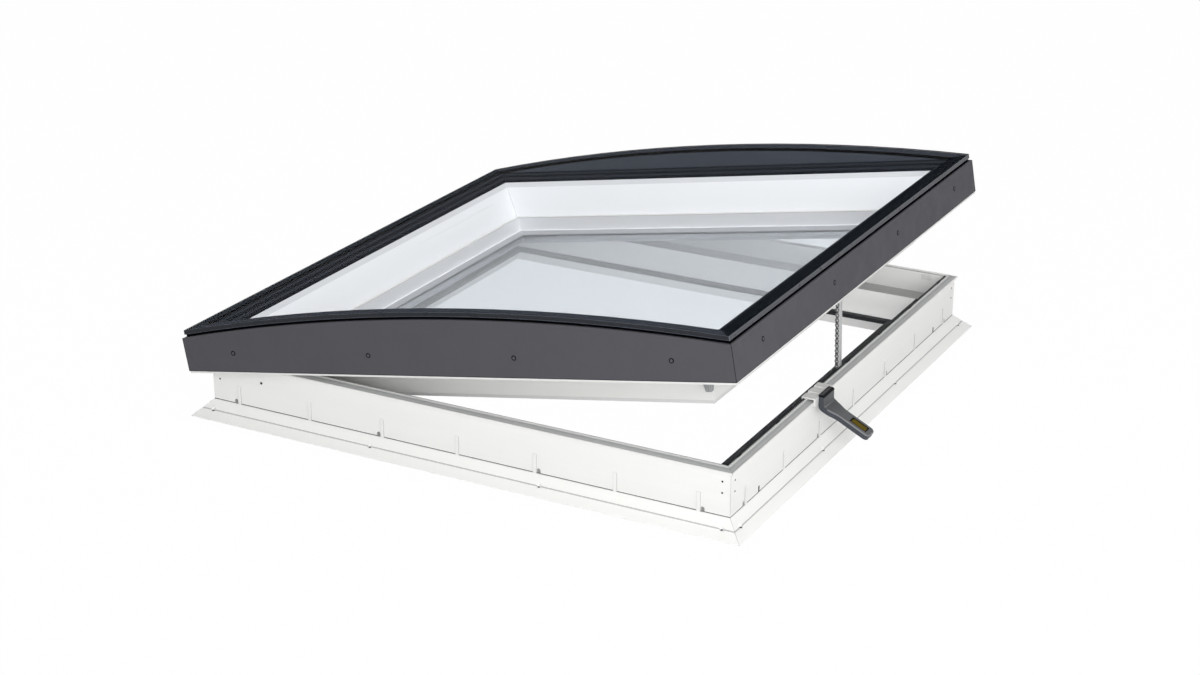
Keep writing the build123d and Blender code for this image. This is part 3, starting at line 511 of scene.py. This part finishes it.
class Palette:
    """Every material, built once and handed out by name."""

    def __init__(self) -> None:
        """Builds the finishes."""
        white = (0.80, 0.80, 0.785)
        shade = (0.05, 0.05, 0.055)
        # The grey of the painted shade lines in creases, grooves and round holes.
        line = (0.20, 0.20, 0.205)
        frame_painted_shading = (
            # Painted shade on the rim's cove, ridge and shoulder, where the open sash overhangs it.
            Mark((0.45, 0.455, 0.455), (-0.0034, 0.0034), (0.1425, 0.149)),
            Mark((0.37, 0.375, 0.38), (0.0034, 0.0088), (0.1425, 0.149)),
            Mark((0.55, 0.555, 0.55), (0.0088, 0.0102), (0.146, 0.1496)),
            Mark((0.45, 0.455, 0.455), (0.0146, 0.021), (0.1465, 0.1475)),
            # Painted shade on the step under the open sash.
            Mark((0.42, 0.425, 0.42), (0.021, 0.0735), (0.0925, 0.0945)),
            # Painted light: the lower inner wall is painted whiter than the rest of the frame.
            Mark((0.95, 0.95, 0.94), (0.0735, 0.124), (-0.001, 0.0925)),
            # Painted shade in the crease at the wall's foot and along the edges of its ribs.
            Mark((0.10, 0.10, 0.105), (-0.0004, 0.0002), (0.0370, 0.0402)),
            Mark(line, (-0.0019, 0.0002), (0.0376, 0.0836), 0.45, (0.0041, 0.0048), 0.1985),
            # Painted shade inside the drains, the corner holes, the spare hole and the cable slots.
            Mark(shade, (0.0002, 0.0065), (0.0376, 0.0505), 0.5, (0.2035, 0.2135)),
            Mark(shade, (0.0002, 0.0065), (0.0376, 0.0505), 0.5, (0.6005, 0.6105)),
            Mark(shade, (0.0002, 0.0085), (0.089, 0.121), 1.0, (0.6475, 0.6525)),
            Mark(shade, (0.0002, 0.0085), (0.1, 0.108), 1.0, (0.5275, 0.5345)),
            Mark(shade, (0.0002, 0.0085), (0.0376, 0.0545), 1.0, (0.523, 0.531)),
        )
        flange_painted_shade = (
            # Painted shade in the flange's groove and round its screw holes.
            Mark(line, (-0.0209, -0.019), (0.001, 0.03), 0.6),
            Mark(line, (-0.0226, -0.0174), (-0.001, 0.0168), 0.5, (0.2175, 0.2225)),
            Mark(line, (-0.0226, -0.0174), (-0.001, 0.0168), 0.5, (0.6575, 0.6625)),
        )
        sash_painted_shading = (
            # Painted shade along the sash's bottom edge.
            Mark((0.58, 0.585, 0.58), (0.1215, 0.127), (0.0315, 0.0395), 0.8),
            # Painted light: a whiter, cooler band on the sash's inner face.
            Mark((0.93, 0.945, 0.965), (0.134, 0.1405), (0.06, 0.11)),
            # Painted shade on the sash's lower inner part.
            Mark((0.42, 0.43, 0.45), (0.1405, 0.1585), (0.03, 0.075)),
        )
        # Painted shadow on the reveals just below the black trim.
        reveal_painted_shadow = (Mark((0.62, 0.64, 0.66), (0.06, 0.087), (0.0, 0.4), 0.6),)
        self.frame = {}
        self.flange = {}
        self.sash = {}
        self.reveal = {}
        for run in (Run.ALONG_X, Run.ALONG_Y):
            way = run.name.lower()
            self.frame[run] = Finish(
                "white_frame_" + way, white, 0.38, run=run, marks=frame_painted_shading, mitre=0.0007,
            ).material()
            # The flange's white is painted lighter than the frame's, as painted light from above.
            self.flange[run] = Finish(
                "white_flange_" + way, scaled(white, 1.17), 0.38, run=run, marks=flange_painted_shade,
                mitre=0.0007, painted_edge_light=1.0,
            ).material()
            # The sash's white is painted darker than the frame's, as painted shade.
            self.sash[run] = Finish(
                "white_sash_" + way, scaled(white, 0.90), 0.38, run=run, home=Home.SASH,
                marks=sash_painted_shading,
            ).material()
            self.reveal[run] = Finish(
                "white_reveal_" + way, (0.935, 0.95, 0.965), 0.34, run=run, home=Home.SASH,
                mitre=0.0006, painted_edge_light=1.0, mottle=0.02, marks=reveal_painted_shadow,
            ).material()
        self.clip = Finish("white_clip", scaled(white, 0.9), 0.36, painted_edge_light=1.15).material()
        self.cladding = Finish(
            "grey_cladding", (0.076, 0.076, 0.086), 0.6, mottle=0.07, grain_size=0.0016,
            grain_depth=0.00006, painted_edge_light=1.4, specular=0.12, home=Home.SASH, mitre=0.0016,
            # Painted shade along the cladding's bottom edge.
            mitre_shade=0.25, marks=(Mark((0.03, 0.03, 0.035), (-0.001, 0.003), (0.1255, 0.1275)),),
        ).material()
        # Lit and shaded copies of the one black enamel: the arched sides painted lighter and the
        # side that opens painted darker.
        self.enamel_arched_lit = Finish(
            "black_enamel_front", (0.040, 0.046, 0.058), 0.5, mottle=0.1, specular=0.0,
        ).material()
        self.enamel_open_shaded = Finish(
            "black_enamel_open", (0.004, 0.006, 0.009), 0.5, mottle=0.1, specular=0.0,
        ).material()
        self.rubber = Finish("black_rubber", (0.010, 0.011, 0.013), 0.62, specular=0.25).material()
        self.gap = Finish("black_gap_rubber", (0.002, 0.002, 0.0025), 0.7, specular=0.0).material()
        self.enamel = Finish(
            "black_enamel", (0.020, 0.025, 0.033), 0.5, mottle=0.1, specular=0.0,
        ).material()
        # The glass's edge faces carry a painted highlight at the arris, and the front and back
        # edges take a copy painted darker as painted shade.
        self.glass_edge = Finish(
            "polished_glass_edge", (0.055, 0.058, 0.067), 0.3, mottle=0.06, painted_edge_light=7.5,
            edge_radius=0.0014, specular=0.15, home=Home.SASH,
        ).material()
        self.glass_edge_shaded = Finish(
            "polished_glass_edge_dark", (0.022, 0.024, 0.029), 0.3, mottle=0.06, painted_edge_light=14.0,
            edge_radius=0.0014, specular=0.1, home=Home.SASH,
        ).material()
        stripe = (0.028, 0.033, 0.042)
        self.trim = Finish(
            "black_trim", (0.008, 0.010, 0.014), 0.45, specular=0.0, home=Home.SASH,
            marks=(
                Mark(stripe, (0.046, 0.052), (0.1, 0.3)),
                Mark(stripe, (0.062, 0.070), (0.1, 0.3)),
            ),
        ).material()
        self.panel = Finish(
            "navy_panel", (0.062, 0.071, 0.090), 0.45, mottle=0.12, specular=0.05,
        ).material()
        self.steel = Finish(
            "zinc_steel", (0.62, 0.63, 0.64), 0.32, metallic=1.0, mottle=0.12,
            mottle_size=0.01, edge_radius=0.0003,
        ).material()
        self.spacer = Finish("spacer_metal", (0.42, 0.43, 0.45), 0.36, metallic=1.0).material()
        self.chain = LinkFinish(
            "chain_steel", (0.60, 0.605, 0.61), 0.42, metallic=0.3, mottle=0.15, mottle_size=0.01,
            edge_radius=0.0004, painted_edge_light=0.6, home=Home.CHAIN,
        ).material()
        self.chain_back = Finish(
            "chain_back_steel", (0.66, 0.665, 0.67), 0.5, metallic=0.3, mottle=0.15,
            mottle_size=0.01, edge_radius=0.0005, painted_edge_light=0.5,
        ).material()
        self.sensor = Finish(
            "sensor_plastic", (0.083, 0.085, 0.090), 0.5, specular=0.2, painted_edge_light=2.6,
            edge_radius=0.002,
        ).material()
        # The arm's bevelled edge takes the sensor plastic painted lighter, as a painted highlight.
        self.sensor_lit_edge = Finish(
            "sensor_edge_plastic", (0.17, 0.173, 0.182), 0.45, specular=0.3, painted_edge_light=1.3,
            edge_radius=0.001,
        ).material()
        # The faces towards -Y take the sensor plastic painted darker, as painted shade.
        self.sensor_shaded_side = Finish(
            "sensor_side_plastic", (0.058, 0.063, 0.074), 0.5, specular=0.15, painted_edge_light=2.6,
            edge_radius=0.002,
        ).material()
        self.sensor_dark = Finish(
            "sensor_dark", (0.006, 0.0065, 0.0075), 0.35, specular=0.04, painted_edge_light=3.0,
        ).material()
        self.gold = Finish("gold_pad", (0.105, 0.074, 0.005), 0.5, specular=0.05).material()
        # The pad's base is the gold painted darker, as painted shade between the raised cells.
        self.gold_shaded = Finish(
            "gold_pad_base", (0.035, 0.024, 0.004), 0.5, specular=0.05,
        ).material()
        self.peg = Finish(
            "peg_plastic", (0.27, 0.28, 0.285), 0.42, painted_edge_light=2.0, edge_radius=0.0013,
        ).material()
        self.screw = Finish(
            "dark_screw", (0.025, 0.026, 0.03), 0.45, metallic=0.5, mottle=0.15, mottle_size=0.004,
            grain_size=0.0004, edge_radius=0.0003, painted_edge_light=2.0,
        ).material()
        # Near-black that stands for shade: round the cladding's caps and inside the wall's holes.
        self.shade_black = Finish(
            "shade_black", (0.004, 0.004, 0.005), 0.55, specular=0.02, painted_edge_light=1.0,
        ).material()
        self.outer_glass = Glazing("outer_glass", (0.975, 0.985, 1.0), mirror=0.02).material()
        self.inner_glass = Glazing(
            "inner_glass", (0.82, 0.845, 0.865), mirror=0.45, blur=0.5,
        ).material()


def dress(node: str, material: bpy.types.Material) -> None:
    """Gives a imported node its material.

    Args:
        node: the node's name.
        material: the material.
    """
    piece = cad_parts[node]
    piece.data.materials.clear()
    piece.data.materials.append(material)
    log.info("dressed %s in %s", node, material.name)


def dress_faces(node: str, material: bpy.types.Material, wanted: Test) -> None:
    """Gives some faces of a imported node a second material.

    Args:
        node: the node's name.
        material: the second material.
        wanted: tells which faces it goes on.
    """
    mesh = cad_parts[node].data
    mesh.materials.append(material)
    for face in mesh.polygons:
        if wanted(face):
            face.material_index = len(mesh.materials) - 1


@dataclass
class Dressing:
    """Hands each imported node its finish, and some of its faces a second one."""

    palette: Palette
    border_arched_y: float = 0.66
    border_open_x: float = 0.645
    chain_back: float = 0.8
    sensor_shaded_side: float = -0.6
    arm_bevel: tuple[float, float] = (0.3, 0.92)
    arm_start: float = 0.006
    square_on: float = 0.9

    def white_profiles(self) -> None:
        """The frame, flange, sash and reveals, streaked along their own length."""
        for side in SIDES:
            run = Run.ALONG_X if side in ("front", "back") else Run.ALONG_Y
            dress("frame_" + side, self.palette.frame[run])
            dress("flange_" + side, self.palette.flange[run])
            dress("sash_" + side, self.palette.sash[run])
            dress("reveal_" + side, self.palette.reveal[run])
            dress("cladding_" + side, self.palette.cladding)
        dress("sensor_clip", self.palette.clip)

    def black_pieces(self) -> None:
        """Rubber, enamel and dark plastic."""
        dress("frame_gasket", self.palette.rubber)
        dress("edge_seal", self.palette.gap)
        dress("glazing_gasket", self.palette.rubber)
        dress("reveal_trim", self.palette.trim)
        dress("arch_panel_front", self.palette.panel)
        dress("arch_panel_back", self.palette.panel)
        dress("glass_border", self.palette.enamel)
        # The border's arched sides take its enamel painted lighter and its opening side painted
        # darker, as painted light and shade.
        dress_faces(
            "glass_border", self.palette.enamel_arched_lit,
            lambda face: abs(face.center.y) > self.border_arched_y,
        )
        dress_faces(
            "glass_border", self.palette.enamel_open_shaded,
            lambda face: face.center.x > self.border_open_x,
        )
        dress("screw_caps", self.palette.cladding)

    def metal_pieces(self) -> None:
        """Plated steel and the spacer."""
        for node in ("hinge_frame_leaves", "hinge_sash_leaves", "hinge_pins", "chain_anchor"):
            dress(node, self.palette.steel)
        for node in ("chain_outer_links", "chain_inner_links"):
            dress(node, self.palette.chain)
            dress_faces(
                node, self.palette.chain_back, lambda face: face.normal.x > self.chain_back,
            )
        dress("glass_spacer", self.palette.spacer)

    def fittings(self) -> None:
        """The drive, the lock and the sensor."""
        dress("chain_drive", self.palette.clip)
        dress("lock_pegs", self.palette.peg)
        dress("lock_keepers", self.palette.clip)
        dress("sensor_body", self.palette.sensor)
        # Faces towards -Y take painted shade and the arm's bevel takes a painted highlight.
        dress_faces(
            "sensor_body", self.palette.sensor_shaded_side,
            lambda face: face.normal.y < self.sensor_shaded_side,
        )
        dress_faces("sensor_body", self.palette.sensor_lit_edge, self.on_arm_bevel)
        dress("sensor_pad", self.palette.gold_shaded)

    def on_arm_bevel(self, face: bpy.types.MeshPolygon) -> bool:
        """Whether a face of the sensor lies on the bevelled edge of its arm.

        Args:
            face: the face.

        Returns:
            True on the bevel.
        """
        level = SensorTrim().on_arm().inverted()
        lift = (level.to_3x3() @ face.normal).z
        low, high = self.arm_bevel
        return low < lift < high and (level @ face.center).x > self.arm_start

    def panes(self) -> None:
        """The outer glass and both inner panes."""
        upright = SWING.matrix().inverted().to_3x3()
        dress("outer_glass", self.palette.outer_glass)
        # Side edges take the edge finish with its painted highlight; front and back edges take the
        # copy painted darker as painted shade.
        dress_faces(
            "outer_glass", self.palette.glass_edge,
            lambda face: abs((upright @ face.normal).x) > self.square_on,
        )
        dress_faces(
            "outer_glass", self.palette.glass_edge_shaded,
            lambda face: abs(face.normal.y) > self.square_on,
        )
        dress("inner_glass_upper", self.palette.inner_glass)
        dress("inner_glass_lower", self.palette.inner_glass)

    def apply(self) -> None:
        """Dresses every node."""
        self.white_profiles()
        self.black_pieces()
        self.metal_pieces()
        self.fittings()
        self.panes()


# Modelling


def box(middle: tuple[float, float, float], size: tuple[float, float, float]) -> bpy.types.Object:
    """Starts a piece as a block.

    Args:
        middle: the block's middle.
        size: its three lengths.

    Returns:
        The block, with its place and size in its mesh.
    """
    bpy.ops.object.select_all(action="DESELECT")
    bpy.ops.mesh.primitive_cube_add(size=1.0, location=middle, scale=size)
    bpy.ops.object.transform_apply(location=True, rotation=True, scale=True)
    return bpy.context.object


def disc(radius: float, depth: float, sides: int = 32) -> bpy.types.Object:
    """Starts a piece as a disc that stands on the ground plane.

    Args:
        radius: the disc's radius.
        depth: its height.
        sides: how many sides its rim has.

    Returns:
        The disc.
    """
    bpy.ops.object.select_all(action="DESELECT")
    bpy.ops.mesh.primitive_cylinder_add(
        vertices=sides, radius=radius, depth=depth, location=(0.0, 0.0, depth / 2.0),
    )
    bpy.ops.object.transform_apply(location=True, rotation=True, scale=True)
    return bpy.context.object


def top(face: bpy.types.MeshPolygon) -> bool:
    """Whether a face looks straight up."""
    return face.normal.z > 0.99


def pick(piece: bpy.types.Object, wanted: Test) -> None:
    """Opens a piece for editing with some of its faces selected.

    Args:
        piece: the piece.
        wanted: tells which faces to select.
    """
    if bpy.context.mode != "OBJECT":
        bpy.ops.object.mode_set(mode="OBJECT")
    bpy.context.view_layer.objects.active = piece
    for part in (*piece.data.vertices, *piece.data.edges):
        part.select = False
    for face in piece.data.polygons:
        face.select = wanted(face)
    bpy.ops.object.mode_set(mode="EDIT")
    bpy.ops.mesh.select_mode(type="FACE")


def sink(piece: bpy.types.Object, rim: float, drop: float) -> None:
    """Leaves a rim round a piece's top and sinks what is inside it.

    Args:
        piece: the piece.
        rim: the rim's width.
        drop: how far the inside sinks.
    """
    pick(piece, top)
    bpy.ops.mesh.inset(thickness=rim)
    bpy.ops.mesh.extrude_region_move(TRANSFORM_OT_translate={"value": (0.0, 0.0, -drop)})


def close(piece: bpy.types.Object) -> None:
    """Ends the editing of a piece, with its doubles merged and its normals outward.

    Args:
        piece: the piece.
    """
    pick(piece, lambda face: True)
    bpy.ops.mesh.remove_doubles(threshold=0.000001)
    bpy.ops.mesh.normals_make_consistent(inside=False)
    bpy.ops.object.mode_set(mode="OBJECT")


def settle(
    name: str,
    master: bpy.types.Object,
    places: list[Matrix],
    material: bpy.types.Material,
    stands_for: tuple[str, ...] = (),
) -> None:
    """Sets copies of a finished piece in their places and joins them as one.

    Args:
        name: the joined piece's name.
        master: the piece, modelled once at the origin.
        places: where its copies go.
        material: its finish.
        stands_for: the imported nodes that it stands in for.
    """
    close(master)
    bpy.ops.object.select_all(action="DESELECT")
    copies = []
    for place in places:
        copy = bpy.data.objects.new(name, master.data.copy())
        copy.data.transform(place)
        bpy.context.scene.collection.objects.link(copy)
        copy.select_set(True)
        copies.append(copy)
    bpy.data.objects.remove(master)
    bpy.context.view_layer.objects.active = copies[0]
    if len(copies) > 1:
        bpy.ops.object.join()
    made = copies[0]
    made.name = name
    made.data.materials.clear()
    made.data.materials.append(material)
    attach(made, BODY)
    if stands_for:
        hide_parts(*stands_for)
    log.info("built %s, %d faces", name, len(made.data.polygons))


class Facing(Enum):
    """Which way a copied piece's top looks, as a turn about its side's own line."""

    OUT = math.pi / 2.0
    UP = 0.0


def around(
    reach: float,
    places: tuple[float, ...],
    height: float,
    facing: Facing = Facing.OUT,
) -> list[Matrix]:
    """Places along all four sides of a square.

    Args:
        reach: how far the sides lie from the middle.
        places: where along each side.
        height: how high.
        facing: which way the piece's top looks.

    Returns:
        The places.
    """
    tilt = Matrix.Rotation(facing.value, 4, "Y")
    found = []
    for quarter in range(4):
        turn = Matrix.Rotation(quarter * math.pi / 2.0, 4, "Z")
        for place in places:
            found.append(turn @ Matrix.Translation((reach, place, height)) @ tilt)
    return found


@dataclass
class ScrewCaps:
    """The round caps over the cladding's screws: a grey disc in a near-black ring that stands for
    the shade round it.
    """

    reach: float = 0.712
    height: float = 0.172
    places: tuple[float, ...] = (-0.57, -0.19, 0.19, 0.57)
    ring_radius: float = 0.0058
    disc_radius: float = 0.0038
    proud: float = 0.0008
    ring_share: float = 0.8
    sink_share: float = 0.5
    clearance: float = 0.0001
    bevel: float = 0.0002

    def stations(self) -> list[Matrix]:
        """Where the caps sit on the open sash."""
        return [SWING.matrix() @ place for place in around(self.reach, self.places, self.height)]

    def build(self, palette: Palette) -> None:
        """Models the rings and the discs.

        Args:
            palette: the materials.
        """
        ring = disc(self.ring_radius, self.proud * self.ring_share)
        sink(ring, self.ring_radius - self.disc_radius, self.proud * self.sink_share)
        settle("cap_rings", ring, self.stations(), palette.shade_black)
        cap = disc(self.disc_radius - self.clearance, self.proud)
        pick(cap, top)
        bpy.ops.mesh.bevel(offset=self.bevel, segments=2)
        settle("cap_discs", cap, self.stations(), palette.cladding, ("screw_caps",))


@dataclass
class SensorTrim:
    """The sensor's black cap, the dark tray round its pad and the pad's gold cells."""

    arm_foot: tuple[float, float, float] = (0.6875, -0.209, 0.127)
    arm_slope: float = math.radians(26.7)
    cap_middle: tuple[float, float, float] = (0.6877, -0.209, 0.1554)
    cap_size: tuple[float, float, float] = (0.0148, 0.0572, 0.0046)
    cap_chamfer: float = 0.0036
    pad_middle: float = 0.0885
    tray_size: tuple[float, float] = (0.0448, 0.0228)
    tray_floor: float = 0.0036
    arm_top: float = 0.0066
    cap_rim: float = 0.0016
    cap_drop: float = 0.0012
    tray_rim: float = 0.0009
    tray_base: float = 0.0003
    cells: tuple[int, int] = (12, 5)
    cell_area: tuple[float, float] = (0.0372, 0.0166)
    cell_level: float = 0.00575
    cell_gap: float = 0.0003
    cell_rise: float = 0.00035

    def on_arm(self) -> Matrix:
        """Carries the arm's own frame to its place on the sloping arm."""
        return Matrix.Translation(self.arm_foot) @ Matrix.Rotation(self.arm_slope, 4, "Y")

    def cap(self, palette: Palette) -> None:
        """The glossy black cap with its slanted front and sunken top.

        Args:
            palette: the materials.
        """
        cap = box(self.cap_middle, self.cap_size)
        edge_x = self.cap_middle[0] + self.cap_size[0] / 2.0 - self.cap_chamfer
        edge_z = self.cap_middle[2] + self.cap_size[2] / 2.0
        pick(cap, lambda face: True)
        bpy.ops.mesh.bisect(
            plane_co=(edge_x, 0.0, edge_z), plane_no=(1.0, 0.0, 1.0), use_fill=True,
            clear_outer=True,
        )
        sink(cap, self.cap_rim, self.cap_drop)
        settle("sensor_cap", cap, [Matrix.Identity(4)], palette.sensor_dark)

    def tray(self, palette: Palette) -> None:
        """The black tray that lines the pad's recess.

        Args:
            palette: the materials.
        """
        depth = self.arm_top - self.tray_floor
        tray = box((self.pad_middle, 0.0, self.arm_top - depth / 2.0), (*self.tray_size, depth))
        sink(tray, self.tray_rim, depth - self.tray_base)
        settle("pad_tray", tray, [self.on_arm()], palette.sensor_dark)

    def comb(self, palette: Palette) -> None:
        """The gold cells of the sensing pad.

        Args:
            palette: the materials.
        """
        bpy.ops.object.select_all(action="DESELECT")
        bpy.ops.mesh.primitive_grid_add(
            x_subdivisions=self.cells[0], y_subdivisions=self.cells[1], size=1.0,
            location=(self.pad_middle, 0.0, self.cell_level),
        )
        cells = bpy.context.object
        cells.scale = (*self.cell_area, 1.0)
        bpy.ops.object.transform_apply(location=True, rotation=True, scale=True)
        pick(cells, top)
        bpy.ops.mesh.edge_split(type="EDGE")
        bpy.ops.mesh.inset(thickness=self.cell_gap, use_individual=True)
        bpy.ops.mesh.extrude_faces_move(TRANSFORM_OT_shrink_fatten={"value": self.cell_rise})
        settle("pad_cells", cells, [self.on_arm()], palette.gold)

    def build(self, palette: Palette) -> None:
        """Models the three pieces.

        Args:
            palette: the materials.
        """
        self.cap(palette)
        self.tray(palette)
        self.comb(palette)


@dataclass
class FlangeScrews:
    """The sunken screw heads along the flange's middle line."""

    reach: float = 0.690
    height: float = 0.0166
    places: tuple[float, ...] = (-0.66, -0.22, 0.22, 0.66)
    radius: float = 0.0027
    depth: float = 0.0009
    bevel: float = 0.0004
    socket_radius: float = 0.0012
    socket_depth: float = 0.0007

    def build(self, palette: Palette) -> None:
        """Models one head with a round socket and copies it.

        Args:
            palette: the materials.
        """
        head = disc(self.radius, self.depth, SMALL_DISC_SIDES)
        pick(head, top)
        bpy.ops.mesh.bevel(offset=self.bevel, segments=2)
        sink(head, self.radius - self.bevel - self.socket_radius, self.socket_depth)
        stations = around(self.reach, self.places, self.height, Facing.UP)
        settle("flange_screw_heads", head, stations, palette.screw)


@dataclass
class WallHoleShades:
    """Near-black discs in the wall's blind corner holes and its spare hole, standing for the shade
    inside them.
    """

    reach: float = 0.670
    places: tuple[float, ...] = (-0.65, 0.65)
    heights: tuple[float, ...] = (0.092, 0.118)
    radius: float = 0.0023
    spare_place: tuple[float, float, float] = (-0.531, -0.670, 0.104)
    spare_radius: float = 0.0032
    proud: float = 0.0002
    rim: float = 0.0004
    spare_rim: float = 0.0005
    sink_share: float = 0.6

    def build(self, palette: Palette) -> None:
        """Models a small dark disc and the larger spare one.

        Args:
            palette: the materials.
        """
        small = disc(self.radius, self.proud, SMALL_DISC_SIDES)
        sink(small, self.rim, self.proud * self.sink_share)
        stations = []
        for height in self.heights:
            stations.extend(around(self.reach, self.places, height))
        settle("corner_hole_shades", small, stations, palette.shade_black)
        spare = disc(self.spare_radius, self.proud, SMALL_DISC_SIDES)
        sink(spare, self.spare_rim, self.proud * self.sink_share)
        outward = Matrix.Translation(self.spare_place) @ Matrix.Rotation(math.pi / 2.0, 4, "X")
        settle("spare_hole_shade", spare, [outward], palette.shade_black)


@dataclass
class StepSeal:
    """The black strip along the inner edge of the step, on the side that opens."""

    middle: tuple[float, float, float] = (0.6, 0.0, 0.0942)
    size: tuple[float, float, float] = (0.0074, 1.186, 0.0016)
    rim: float = 0.0015
    rise: float = 0.0006

    def build(self, palette: Palette) -> None:
        """Models the strip with a raised middle.

        Args:
            palette: the materials.
        """
        strip = box(self.middle, self.size)
        pick(strip, top)
        bpy.ops.mesh.inset(thickness=self.rim)
        bpy.ops.transform.translate(value=(0.0, 0.0, self.rise))
        settle("step_seal", strip, [Matrix.Identity(4)], palette.rubber)


# Studio


@dataclass
class Studio:
    """The pale floor, the soft lamps and the sky-like surround."""

    floor_half: float = 9.0
    floor_white: float = 0.86
    floor_glow: float = 0.985
    sky_low: float = 0.90
    sky_high: float = 0.12
    top_power: float = 120.0
    top_place: tuple[float, float] = (0.2, -0.2)
    top_height: float = 5.5
    top_size: float = 1.0
    key_power: float = 125.0
    key_azimuth: float = math.radians(40.0)
    key_elevation: float = math.radians(22.0)
    key_distance: float = 5.0
    key_size: float = 2.6

    def seen_white(self, sheet_tree: bpy.types.NodeTree) -> bpy.types.NodeSocket:
        """How far a ray should meet plain white: seen, mirrored or through glass.

        Args:
            sheet_tree: the tree to add nodes to.

        Returns:
            1 for such rays, else 0.
        """
        path = sheet_tree.nodes.new("ShaderNodeLightPath")
        first = sheet_tree.nodes.new("ShaderNodeMath")
        first.operation = "MAXIMUM"
        second = sheet_tree.nodes.new("ShaderNodeMath")
        second.operation = "MAXIMUM"
        links = sheet_tree.links
        links.new(path.outputs["Is Camera Ray"], first.inputs[0])
        links.new(path.outputs["Is Transmission Ray"], first.inputs[1])
        links.new(first.outputs[0], second.inputs[0])
        links.new(path.outputs["Is Glossy Ray"], second.inputs[1])
        return second.outputs[0]

    def floor(self) -> None:
        """A wide pale floor that shows as white and keeps the object's shadow."""
        bpy.ops.mesh.primitive_plane_add(size=2.0 * self.floor_half, location=(0.0, 0.0, 0.0))
        floor = bpy.context.object
        floor.name = "floor"
        sheet = Sheet("pale_floor")
        paint = sheet.node("BsdfDiffuse", {"Color": (self.floor_white,) * 3})
        glow = sheet.node("Emission", {"Color": (1.0, 1.0, 1.0), "Strength": 1.0})
        share = sheet.maths("MULTIPLY", self.seen_white(sheet.tree), self.floor_glow)
        mixed = sheet.node("MixShader", {0: share, 1: paint.outputs[0], 2: glow.outputs[0]})
        floor.data.materials.append(sheet.show(mixed.outputs[0]))

    def surround(self) -> None:
        """A soft surround, brighter near the horizon than overhead."""
        world = bpy.data.worlds.new("surround")
        world.use_nodes = True
        tree = world.node_tree
        tree.nodes.clear()
        way = tree.nodes.new("ShaderNodeTexCoord").outputs["Generated"]
        split = tree.nodes.new("ShaderNodeSeparateXYZ")
        tree.links.new(way, split.inputs[0])
        rise = tree.nodes.new("ShaderNodeMapRange")
        tree.links.new(split.outputs["Z"], rise.inputs["Value"])
        rise.inputs["To Min"].default_value = self.sky_low
        rise.inputs["To Max"].default_value = self.sky_high
        light = tree.nodes.new("ShaderNodeBackground")
        tree.links.new(rise.outputs["Result"], light.inputs["Strength"])
        white = tree.nodes.new("ShaderNodeBackground")
        white.inputs["Color"].default_value = (1.0, 1.0, 1.0, 1.0)
        light.inputs["Color"].default_value = (1.0, 1.0, 1.0, 1.0)
        mixed = tree.nodes.new("ShaderNodeMixShader")
        tree.links.new(self.seen_white(tree), mixed.inputs[0])
        tree.links.new(light.outputs[0], mixed.inputs[1])
        tree.links.new(white.outputs[0], mixed.inputs[2])
        output = tree.nodes.new("ShaderNodeOutputWorld")
        tree.links.new(mixed.outputs[0], output.inputs["Surface"])
        bpy.context.scene.world = world

    def lamp(self, name: str, place: Vector, size: float, power: float) -> None:
        """One square soft lamp that faces the object.

        Args:
            name: the lamp's name.
            place: where it stands.
            size: its width.
            power: its power in watts.
        """
        data = bpy.data.lights.new(name, "AREA")
        data.size = size
        data.energy = power
        lamp = bpy.data.objects.new(name, data)
        lamp.location = place
        lamp.rotation_mode = "QUATERNION"
        lamp.rotation_quaternion = place.to_track_quat("Z", "Y")
        bpy.context.scene.collection.objects.link(lamp)

    def build(self) -> None:
        """Sets the floor, the surround and the lamps."""
        self.floor()
        self.surround()
        level = self.key_distance * math.cos(self.key_elevation)
        place = Vector((
            level * math.sin(self.key_azimuth),
            -level * math.cos(self.key_azimuth),
            self.key_distance * math.sin(self.key_elevation),
        ))
        self.lamp("key", place, self.key_size, self.key_power)
        above = Vector((*self.top_place, self.top_height))
        self.lamp("overhead", above, self.top_size, self.top_power)
        bpy.context.scene.view_settings.view_transform = "Standard"


@dataclass
class PhotoCamera:
    """The camera at the photograph's angle."""

    lens: float = 67.814
    azimuth: float = math.radians(28.32)
    elevation: float = math.radians(21.71)
    distance: float = 5.5876
    aim_right: float = -0.0007
    aim_up: float = 0.0777

    def build(self) -> None:
        """Adds the camera and makes it the scene's own."""
        level = math.cos(self.elevation)
        back = Vector((
            math.sin(self.azimuth) * level,
            -math.cos(self.azimuth) * level,
            math.sin(self.elevation),
        ))
        right = Vector((math.cos(self.azimuth), math.sin(self.azimuth), 0.0))
        aim = right * self.aim_right + back.cross(right) * self.aim_up
        camera = bpy.data.objects.new("camera", bpy.data.cameras.new("camera"))
        camera.data.lens = self.lens
        camera.rotation_mode = "QUATERNION"
        camera.location = aim + back * self.distance
        camera.rotation_quaternion = back.to_track_quat("Z", "Y")
        bpy.context.scene.collection.objects.link(camera)
        bpy.context.scene.camera = camera


def main() -> None:
    """Dresses the window and sets the studio."""
    logging.basicConfig(level=logging.INFO, format="%(name)s: %(message)s")
    bpy.ops.object.select_all(action="DESELECT")
    palette = Palette()
    Dressing(palette).apply()
    for piece in (ScrewCaps(), SensorTrim(), FlangeScrews(), WallHoleShades(), StepSeal()):
        piece.build(palette)
    Studio().build()
    PhotoCamera().build()


if __name__ == "__main__":
    main()
